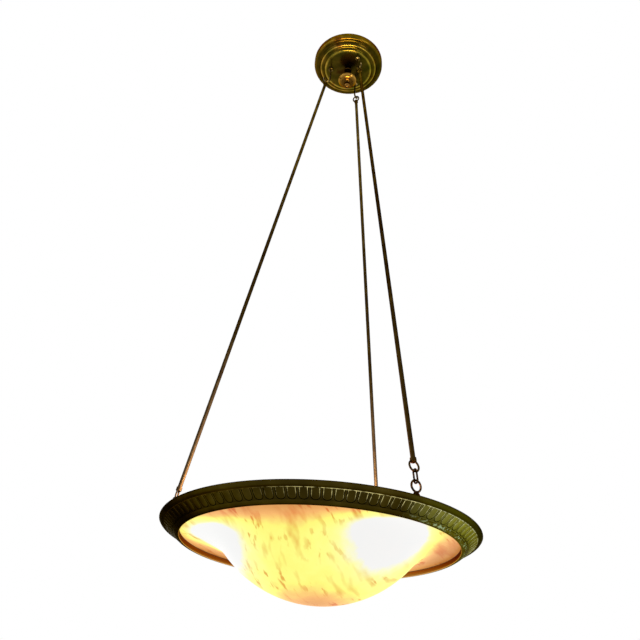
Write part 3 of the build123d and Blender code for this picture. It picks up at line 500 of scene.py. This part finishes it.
bmesh.ops.spin(
    unit,
    geom=unit.verts[:] + unit.edges[:] + unit.faces[:],
    cent=(0, 0, 0),
    axis=(0, 0, 1),
    angle=tau * (TONGUES - 1) / TONGUES,
    steps=TONGUES - 1,
    use_duplicate=True,
)
bmesh.ops.remove_doubles(unit, verts=unit.verts, dist=0.004 * MM)
bmesh.ops.recalc_face_normals(unit, faces=unit.faces)

# Patinated bronze: dark brown, lighter and greener on the right as painted
# light falling on that side, with pale verdigris along the lip there. The
# tongues' edges are worn pale with a painted highlight that grows towards the
# right, and the wall inside the lip is painted with the stone's glow.
patina, tree, shader, place = finish_called("patinated_bronze", 1.0)
shader.inputs["Specular Tint"].default_value = srgb("#7c7032")
edge_wear_and_light = add(tree, "ShaderNodeAttribute", out="Fac", attribute_name="wear_and_relief_light")
axis, _, radius = from_axis(tree, place)
cloud = add(tree, "ShaderNodeTexNoise", {"Vector": place, "Scale": per_metre(40), "Detail": 6.0})
fleck = add(tree, "ShaderNodeTexNoise", {"Vector": place, "Scale": per_metre(5), "Detail": 4.0})
patchy = add(tree, "ShaderNodeMapRange", {"Value": fleck, "From Min": 0.35, "From Max": 0.58})
# The right side is painted lighter and its edge highlights brighter, as painted light.
highlight_side = add(tree, "ShaderNodeMapRange", {"Value": axis["X"], "From Min": -0.09, "From Max": 0.0})
lit_side = add(tree, "ShaderNodeMapRange", {"Value": axis["X"], "From Min": 0.09, "From Max": 0.18})
throat = add(tree, "ShaderNodeMapRange", {"Value": radius, "From Min": 0.1962, "From Max": 0.1953})
level = add(
    tree,
    "ShaderNodeMapRange",
    {"Value": axis["Z"], "From Min": (RIM_TOP - 3) * MM, "From Max": (RIM_TOP - 22) * MM},
)
ground = add(
    tree, "ShaderNodeValToRGB", {"Fac": cloud}, stops=[(0.3, "#2c2408"), (0.5, "#372e0c"), (0.7, "#463c15")]
)
green = add(
    tree,
    "ShaderNodeValToRGB",
    {"Fac": level},
    stops=[
        (0.0, "#4d4c18"),
        (0.2, "#58581c"),
        (0.26, "#9c9c4c"),
        (0.78, "#8d8f48"),
        (0.82, "#54501a"),
        (0.88, "#7c7a38"),
    ],
)
# Pale edges are wear with a painted highlight; dark channels are patina with painted shade.
high = add(tree, "ShaderNodeValToRGB", {"Fac": edge_wear_and_light}, stops=[(0.55, "#000000"), (0.9, "#ffffff")])
high = add(tree, "ShaderNodeMath", {0: high, 1: patchy}, operation="MULTIPLY")
low = add(tree, "ShaderNodeValToRGB", {"Fac": edge_wear_and_light}, stops=[(0.02, "#ffffff"), (0.28, "#000000")])
lipped = add(
    tree,
    "ShaderNodeValToRGB",
    {"Fac": level},
    stops=[(0.78, "#000000"), (0.84, "#ffffff"), (0.92, "#ffffff"), (0.96, "#000000")],
)
verdigris = add(tree, "ShaderNodeValToRGB", {"Fac": fleck}, stops=[(0.52, "#000000"), (0.6, "#ffffff")])
verdigris = add(tree, "ShaderNodeMath", {0: verdigris, 1: lipped}, operation="MULTIPLY")
verdigris = add(tree, "ShaderNodeMath", {0: verdigris, 1: lit_side}, operation="MULTIPLY")
# Painted glow: the wall inside the lip takes the stone's light as colour.
painted_lip_glow = add(tree, "ShaderNodeValToRGB", {"Fac": level}, stops=[(0.9, "#9c6628"), (0.95, "#f5bc70")])
edge_wear_and_highlight = add(
    tree, "ShaderNodeMix", {0: highlight_side, 6: srgb("#54451a"), 7: srgb("#d9d08c")}, out=2, data_type="RGBA"
)
edge_wear_and_highlight = add(tree, "ShaderNodeMix", {0: lit_side, 6: edge_wear_and_highlight, 7: srgb("#f4fad0")}, out=2, data_type="RGBA")
sunk = add(tree, "ShaderNodeMix", {0: lit_side, 6: srgb("#171003"), 7: srgb("#37340f")}, out=2, data_type="RGBA")
for mask, colour in (
    (lit_side, green),
    (high, edge_wear_and_highlight),
    (low, sunk),
    (verdigris, srgb("#c2dcb4")),
    (throat, painted_lip_glow),
):
    ground = add(tree, "ShaderNodeMix", {0: mask, 6: ground, 7: colour}, out=2, data_type="RGBA")
tree.links.new(ground, shader.inputs["Base Color"])
roughen(tree, shader, place, 1.8, 0.05, 0.26, 0.44)
piece_from(unit, "rim_ring_chased", patina, "bowl", "rim_ring", sharp=40)

# Felt washer on the rim's inner ledge: pressed grey-brown wool that keeps the
# stone off the metal. Its fuzz is matt, with a faint sheen at grazing angles.
felt, tree, shader, place = finish_called("pressed_wool_felt", roughness=0.95)
fuzz = add(tree, "ShaderNodeTexNoise", {"Vector": place, "Scale": per_metre(0.8), "Detail": 5.0})
tone = add(tree, "ShaderNodeValToRGB", {"Fac": fuzz}, stops=[(0.3, "#3a332b"), (0.7, "#6a6052")])
tree.links.new(tone, shader.inputs["Base Color"])
bump = add(tree, "ShaderNodeBump", {"Height": fuzz, "Distance": 0.2 * MM})
tree.links.new(bump, shader.inputs["Normal"])
shader.inputs["Sheen Weight"].default_value = 0.4
coat(felt, "felt_ring")

# Bowl: one piece of honey alabaster, turned on a lathe to a nine millimetre
# wall and polished. Its flat flange rests on the felt, and a flare leads from
# the flange down into the dome.
BOWL_WALL = 9.0
BOWL_SEAT = RIM_TOP - 13.3
BOWL_EDGE_R = 203.0
BOWL_EDGE_ROUND = 1.5
FLANGE_SLOPE = 6.0
FLANGE_MID_R = 183.0
FLANGE_MID_DROP = 1.26
FLANGE_DRAFT = 0.05  # how far the flange's end moves in per millimetre of the wall
FLARE_START_R = 170.1
FLARE_R = 60.0
DOME_SLOPE = 48.0
flare_mid_r = FLARE_START_R + FLARE_R * sin(radians(FLANGE_SLOPE))
flare_drop = (RIM_LIP_R - FLARE_START_R) * sin(radians(FLANGE_SLOPE)) / cos(radians(FLANGE_SLOPE))
flare_mid_z = BOWL_SEAT - flare_drop - FLARE_R * cos(radians(FLANGE_SLOPE))
dome_r = (flare_mid_r - FLARE_R * sin(radians(DOME_SLOPE))) / sin(radians(DOME_SLOPE))
dome_mid_z = flare_mid_z + (FLARE_R + dome_r) * cos(radians(DOME_SLOPE))
skin = []
for depth in (0.0, BOWL_WALL):
    side = [(RIM_LIP_R - depth * FLANGE_DRAFT, BOWL_SEAT + depth)]
    side += [(FLANGE_MID_R, BOWL_SEAT + depth - FLANGE_MID_DROP)]
    side += corner_arc((flare_mid_r, flare_mid_z), FLARE_R + depth, 90 + FLANGE_SLOPE, 90 + DOME_SLOPE, 16)
    side += corner_arc((0, dome_mid_z), dome_r - depth, DOME_SLOPE - 90, -90, 26)[1:]
    side[-1] = (0.0, dome_mid_z - dome_r + depth)
    skin.append(side)
edge_mid_r = BOWL_EDGE_R - BOWL_EDGE_ROUND
edge_foot = corner_arc((edge_mid_r, BOWL_SEAT + BOWL_EDGE_ROUND), BOWL_EDGE_ROUND, 0, -90, 4)
edge_head = corner_arc((edge_mid_r, BOWL_SEAT + BOWL_WALL - BOWL_EDGE_ROUND), BOWL_EDGE_ROUND, 90, 0, 4)
stone = turned(edge_foot + skin[0] + skin[1][::-1] + edge_head, 192)

# Lit alabaster: the lamps shine through it, so each spot glows by how near it
# is to a lamp and how squarely it faces it, from white over yellow to orange.
# The stone's own clouds make that uneven, and its polish is faint against it.
LAMP_BEARINGS = {"front": -50.0, "left": -170.0, "back": 70.0}
LAMP_GLOW_R = 126.0
LAMP_Z = RIM_TOP + 10.2
FULL_GLOW = 250.0  # so many lamps a metre away would give the light that is 1 on the ramp
VEIN_BEARING = 68.0
alabaster, tree, shader, place = finish_called("honey_alabaster_lit", roughness=0.45)
shader.inputs["Specular IOR Level"].default_value = 0.12
facing = add(tree, "ShaderNodeTexCoord", out="Normal")
glow = 0.0
for bearing in LAMP_BEARINGS.values():
    flat_place = (LAMP_GLOW_R * MM * cos(radians(bearing)), LAMP_GLOW_R * MM * sin(radians(bearing)))
    lamp = (*flat_place, LAMP_Z * MM)
    away = add(tree, "ShaderNodeVectorMath", {0: place, 1: lamp}, operation="SUBTRACT")
    reach = add(tree, "ShaderNodeVectorMath", {0: away}, "Value", operation="LENGTH")
    cube = add(tree, "ShaderNodeMath", {0: reach, 1: 3.0}, operation="POWER")
    toward = add(tree, "ShaderNodeVectorMath", {0: facing, 1: away}, "Value", operation="DOT_PRODUCT")
    toward = add(tree, "ShaderNodeMath", {0: toward}, operation="ABSOLUTE")
    part = add(tree, "ShaderNodeMath", {0: toward, 1: cube}, operation="DIVIDE")
    glow = add(tree, "ShaderNodeMath", {0: part, 1: glow}, operation="ADD")
_, _, radius = from_axis(tree, place)
cloud = add(
    tree, "ShaderNodeTexNoise", {"Vector": place, "Scale": per_metre(30), "Detail": 5.0, "Roughness": 0.55}
)
uneven = add(tree, "ShaderNodeMapRange", {"Value": cloud, "To Min": 0.72, "To Max": 1.28})
shaded = add(
    tree, "ShaderNodeMapRange", {"Value": radius, "From Min": 0.01, "From Max": 0.075, "To Min": 0.42}
)
glow = add(tree, "ShaderNodeMath", {0: glow, 1: uneven}, operation="MULTIPLY")
glow = add(tree, "ShaderNodeMath", {0: glow, 1: shaded}, operation="MULTIPLY")
glow = add(tree, "ShaderNodeMath", {0: glow, 1: FULL_GLOW}, operation="DIVIDE")
light = add(
    tree,
    "ShaderNodeValToRGB",
    {"Fac": glow},
    stops=[
        (0.04, "#a8662a"),
        (0.1, "#dc9a55"),
        (0.17, "#f2b268"),
        (0.215, "#f9cd70"),
        (0.245, "#fae176"),
        (0.275, "#fcf67a"),
        (0.34, "#fcfc86"),
        (0.46, "#fcfca0"),
        (0.54, "#f8f9c8"),
        (0.62, "#eff1f1"),
    ],
)

# Rusty veins run one way through the block, several times as long as wide, in
# drifts a hand's breadth across, and the light drowns them near a lamp.
streaks = add(
    tree,
    "ShaderNodeMapping",
    {"Vector": place, "Rotation": (0, 0, radians(VEIN_BEARING)), "Scale": (5.5, 1.0, 1.6)},
    vector_type="TEXTURE",
)
vein = add(
    tree, "ShaderNodeTexNoise", {"Vector": streaks, "Scale": per_metre(8), "Detail": 2.2, "Roughness": 0.5}
)
vein = add(tree, "ShaderNodeValToRGB", {"Fac": vein}, stops=[(0.56, "#000000"), (0.64, "#ffffff")])
smear = add(tree, "ShaderNodeTexNoise", {"Vector": streaks, "Scale": per_metre(16), "Detail": 2.0})
smear = add(tree, "ShaderNodeValToRGB", {"Fac": smear}, stops=[(0.56, "#000000"), (0.8, "#ffffff")])
drift = add(tree, "ShaderNodeTexNoise", {"Vector": place, "Scale": per_metre(75), "Detail": 2.0})
drift = add(tree, "ShaderNodeValToRGB", {"Fac": drift}, stops=[(0.46, "#000000"), (0.58, "#ffffff")])
drowned = add(
    tree,
    "ShaderNodeMapRange",
    {"Value": glow, "From Min": 0.4, "From Max": 0.58, "To Min": 0.8, "To Max": 0.0},
)
vein = add(tree, "ShaderNodeMath", {0: vein, 1: drift}, operation="MULTIPLY")
vein = add(tree, "ShaderNodeMath", {0: vein, 1: smear}, operation="MAXIMUM")
vein = add(tree, "ShaderNodeMath", {0: vein, 1: drowned}, operation="MULTIPLY")
rust = add(
    tree,
    "ShaderNodeMix",
    {0: 1.0, 6: light, 7: srgb("#e0955c")},
    out=2,
    data_type="RGBA",
    blend_type="MULTIPLY",
)
light = add(tree, "ShaderNodeMix", {0: vein, 6: light, 7: rust}, out=2, data_type="RGBA")
# Paler base colour on faces that look up inside the bowl is painted lamp light.
outside = add(tree, "ShaderNodeValToRGB", {"Fac": cloud}, stops=[(0.3, "#2c1808"), (0.7, "#422a12")])
inside = add(tree, "ShaderNodeValToRGB", {"Fac": cloud}, stops=[(0.3, "#7a5c36"), (0.7, "#9c7c50")])
upward = add(tree, "ShaderNodeSeparateXYZ", {"Vector": facing}, "Z")
upward = add(tree, "ShaderNodeMapRange", {"Value": upward, "From Min": 0.0, "From Max": 0.2})
tone = add(tree, "ShaderNodeMix", {0: upward, 6: outside, 7: inside}, out=2, data_type="RGBA")
tree.links.new(tone, shader.inputs["Base Color"])
tree.links.new(light, shader.inputs["Emission Color"])
shader.inputs["Emission Strength"].default_value = 1.0
piece_from(stone, "alabaster_bowl_turned", alabaster, "bowl", "alabaster_bowl")

# Lamp cluster: a folded six-sided cup of brass sheet, closed by its cover and
# held by one long bolt. The brass is plain and warm, lightly clouded.
box_brass, _ = clouded(
    "folded_brass_sheet",
    metallic=1.0,
    patch=22,
    detail=4.0,
    stops=[(0.3, "#6b5222"), (0.7, "#a5843f")],
    grain=(1.4, 0.02, 0.26, 0.42),
)
coat(box_brass, "cluster_cup", "cluster_cover", "cluster_bolt")

# Spider: three arms of bronzed steel strip that carry the cluster, with their
# feet screwed to the rim's top face. The finish is dark brown and satin.
spider_steel, _ = clouded(
    "bronzed_steel_strip",
    metallic=0.8,
    patch=18,
    detail=4.0,
    stops=[(0.3, "#3b2f1c"), (0.7, "#5f4f30")],
    grain=(1.0, 0.03, 0.38, 0.55),
)
coat(spider_steel, "lamp_spider", "spider_screws")

# Lamp holders: glazed white porcelain bodies with a rolled brass screw shell
# inside, each on a short threaded nipple through the cup's side.
porcelain, _ = clouded(
    "glazed_porcelain",
    metallic=0.0,
    patch=9,
    detail=3.0,
    stops=[(0.3, "#d9d2c3"), (0.7, "#ece7da")],
    grain=(5.0, 0.02, 0.08, 0.2),
)
for name in ROD_NAMES:
    coat(porcelain, f"lamp_holder_{name}")

# Screw shells: rolled sheet brass with the coarse round thread of a lamp
# socket pressed into it, riveted to the porcelain's floor.
THREAD_PITCH = 3.6
SHELL_FLOOR = 55.0
SHELL_R = 13.85
SHELL_WALL = 0.4
SHELL_THREAD_LENGTH = 6 * THREAD_PITCH


def rolled_thread(radius, start, length, depth, steps):
    """Outline of a round thread that stands a depth proud of its radius."""
    points = []
    for i in range(steps + 1):
        along = i / steps * length
        points.append((radius + depth * (1 - cos(tau * along / THREAD_PITCH)) / 2, start + along))
    return points


def laid_out(mesh, bearing):
    """Turn a shape that stands on Z so that it lies outward along a bearing, at the lamps' height."""
    bmesh.ops.rotate(mesh, verts=mesh.verts, cent=(0, 0, 0), matrix=Matrix.Rotation(pi / 2, 3, "Y"))
    bmesh.ops.rotate(mesh, verts=mesh.verts, cent=(0, 0, 0), matrix=Matrix.Rotation(radians(bearing), 3, "Z"))
    bmesh.ops.translate(mesh, verts=mesh.verts, vec=(0, 0, LAMP_Z * MM))
    return mesh


shell_brass, _ = clouded(
    "pressed_shell_brass",
    metallic=1.0,
    patch=6,
    detail=3.0,
    stops=[(0.3, "#8d6f35"), (0.7, "#c3a05a")],
    grain=(0.9, 0.01, 0.16, 0.3),
)
for name, bearing in LAMP_BEARINGS.items():
    wall = [(5.2, SHELL_FLOOR + 0.05), (13.6, SHELL_FLOOR + 0.05)]
    wall += rolled_thread(SHELL_R, SHELL_FLOOR + 0.8, SHELL_THREAD_LENGTH, 0.25, 36)
    wall += [(14.1, SHELL_FLOOR + 22.9)]
    shell = laid_out(turned(wall + inner_wall(wall, SHELL_WALL), 64), bearing)
    piece_from(shell, f"socket_shell_{name}", shell_brass, "bowl", f"screw_shell_{name}")

# Lamps: globes frosted inside, each on a nickelled screw cap with its
# insulator and contact. They are lit, so the glass itself glows warm, a little
# deeper in colour at its edge.
GLASS_START = 82.0
CAP_START = GLASS_START - 24.0
CAP_THREAD_LENGTH = 5 * THREAD_PITCH
CAP_END_R = 13.05
GLOBE_R = 24.0
GLOBE_MID = GLASS_START + 43.0
lamp_cap, _ = clouded(
    "nickelled_cap",
    metallic=1.0,
    patch=4,
    detail=3.0,
    stops=[(0.3, "#9a9a98"), (0.7, "#c9c8c4")],
    grain=(0.8, 0.01, 0.15, 0.28),
)
opal, tree, shader, place = finish_called("frosted_globe_lit", roughness=0.35)
edge = add(tree, "ShaderNodeLayerWeight", {"Blend": 0.35}, "Facing")
tone = add(
    tree, "ShaderNodeValToRGB", {"Fac": edge}, stops=[(0.0, "#fff3d2"), (0.7, "#ffdf9e"), (1.0, "#f6b765")]
)
tree.links.new(tone, shader.inputs["Emission Color"])
frost = add(tree, "ShaderNodeTexNoise", {"Vector": place, "Scale": per_metre(1.5)})
tone = add(tree, "ShaderNodeValToRGB", {"Fac": frost}, stops=[(0.3, "#e6dcc6"), (0.7, "#f2ecdc")])
tree.links.new(tone, shader.inputs["Base Color"])
shader.inputs["Emission Strength"].default_value = 25.0
for name, bearing in LAMP_BEARINGS.items():
    cap = [(0.0, CAP_START - 2.2), (3.6, CAP_START - 2.2)]
    cap += [(4.5, CAP_START - 1.4), (4.9, CAP_START - 0.4), (10.1, CAP_START), (11.8, CAP_START + 1.2)]
    cap += rolled_thread(12.35, CAP_START + 2.4, CAP_THREAD_LENGTH, 0.7, 30)
    cap += [(CAP_END_R, CAP_START + 21.6), (CAP_END_R, GLASS_START), (0.0, GLASS_START)]
    metal = laid_out(turned(cap, 64, closed=False), bearing)
    piece_from(metal, f"globe_cap_{name}", lamp_cap, f"lamp_{name}", f"bulb_cap_{name}")

    globe = [(0.0, GLASS_START + 0.05), (12.4, GLASS_START + 0.05), (12.6, GLASS_START + 1.0)]
    globe += swell((12.6, GLASS_START + 12.0), (14.4, GLOBE_MID - 19.2), -0.5, 6)
    globe += corner_arc((0, GLOBE_MID), GLOBE_R, -53, 90, 30)[1:]
    globe[-1] = (0.0, GLOBE_MID + GLOBE_R)
    glass = laid_out(turned(globe, 96, closed=False), bearing)
    piece_from(glass, f"globe_glass_{name}", opal, f"lamp_{name}", f"bulb_glass_{name}")

# Floor: plain and pale, well under the lamp. What the camera and the gloss
# see of it is lifted by a little light of its own, which falls on nothing.
FLOOR_Z = -2.1
FLOOR_HALF = 40.0
FLOOR_GLOW = 0.52
floor_mesh = bmesh.new()
bmesh.ops.create_grid(floor_mesh, x_segments=1, y_segments=1, size=FLOOR_HALF)
bmesh.ops.translate(floor_mesh, verts=floor_mesh.verts, vec=(0, 0, FLOOR_Z))
floor_data = bpy.data.meshes.new("floor")
floor_mesh.to_mesh(floor_data)
floor_mesh.free()
floor = bpy.data.objects.new("floor", floor_data)
bpy.context.scene.collection.objects.link(floor)
floor_paint, tree, shader, _ = finish_called("pale_floor", roughness=0.9)
shader.inputs["Base Color"].default_value = srgb("#e9e8e6")
shader.inputs["Emission Color"].default_value = srgb("#e9e8e6")
ray = add(tree, "ShaderNodeLightPath").node.outputs
seen = add(tree, "ShaderNodeMath", {0: ray["Is Camera Ray"], 1: ray["Is Glossy Ray"]}, operation="MAXIMUM")
seen = add(tree, "ShaderNodeMath", {0: seen, 1: FLOOR_GLOW}, operation="MULTIPLY")
tree.links.new(seen, shader.inputs["Emission Strength"])
floor_data.materials.append(floor_paint)

# World: white where the camera, the gloss or the glass sees it, and about half
# as strong where it lights the lamp.
WORLD_LIGHT = 0.55
world = bpy.data.worlds.new("studio")
bpy.context.scene.world = world
world.use_nodes = True
tree = world.node_tree
background = tree.nodes["Background"]
background.inputs["Color"].default_value = (1, 1, 1, 1)
ray = add(tree, "ShaderNodeLightPath").node.outputs
seen = add(tree, "ShaderNodeMath", {0: ray["Is Camera Ray"], 1: ray["Is Glossy Ray"]}, operation="MAXIMUM")
seen = add(tree, "ShaderNodeMath", {0: seen, 1: ray["Is Transmission Ray"]}, operation="MAXIMUM")
strength = add(tree, "ShaderNodeMapRange", {"Value": seen, "To Min": WORLD_LIGHT, "To Max": 1.0})
tree.links.new(strength, background.inputs["Strength"])

# Lights: two soft ones from the sides, and one that stands for what the lit
# bowl throws up at the canopy, the finial and the rods.


def soft_lamp(name, place, aim, size, power, colour):
    """A square area lamp that looks at a point."""
    light = bpy.data.lights.new(name, "AREA")
    light.size = size
    light.energy = power
    light.color = srgb(colour)[:3]
    lamp = bpy.data.objects.new(name, light)
    lamp.location = place
    lamp.rotation_euler = (Vector(aim) - Vector(place)).to_track_quat("-Z", "Y").to_euler()
    bpy.context.scene.collection.objects.link(lamp)
    return lamp


soft_lamp("key", (1.3, -1.3, -1.5), (0, 0, -0.9), 0.8, 12.0, "#fff6ea")
soft_lamp("fill", (-1.5, -0.8, -0.6), (0, 0, -0.8), 1.0, 5.0, "#f2f5ff")
bowl_light = soft_lamp("bowl_light", (0, 0, -1.0), (0, 0, 0), 0.3, 9.0, "#ffdca0")
bowl_light.visible_camera = False

# Camera: where the photograph was taken from, close in front of the bowl and
# a little under it, tilted up and turned slightly about its own axis.
CAMERA_PLACE = (-0.0276, -0.9769, -1.308)
CAMERA_PAN = -0.34
CAMERA_TILT = 122.55
CAMERA_ROLL = 4.137
camera_data = bpy.data.cameras.new("camera")
camera_data.lens = 38.42
camera_data.sensor_width = 36.0
camera_data.clip_end = 100.0
camera = bpy.data.objects.new("camera", camera_data)
turn = Matrix.Rotation(radians(CAMERA_PAN), 4, "Z") @ Matrix.Rotation(radians(CAMERA_TILT), 4, "X")
turn = turn @ Matrix.Rotation(radians(CAMERA_ROLL), 4, "Z")
camera.matrix_world = Matrix.Translation(CAMERA_PLACE) @ turn
bpy.context.scene.collection.objects.link(camera)
bpy.context.scene.camera = camera
bpy.context.scene.view_settings.view_transform = "Standard"
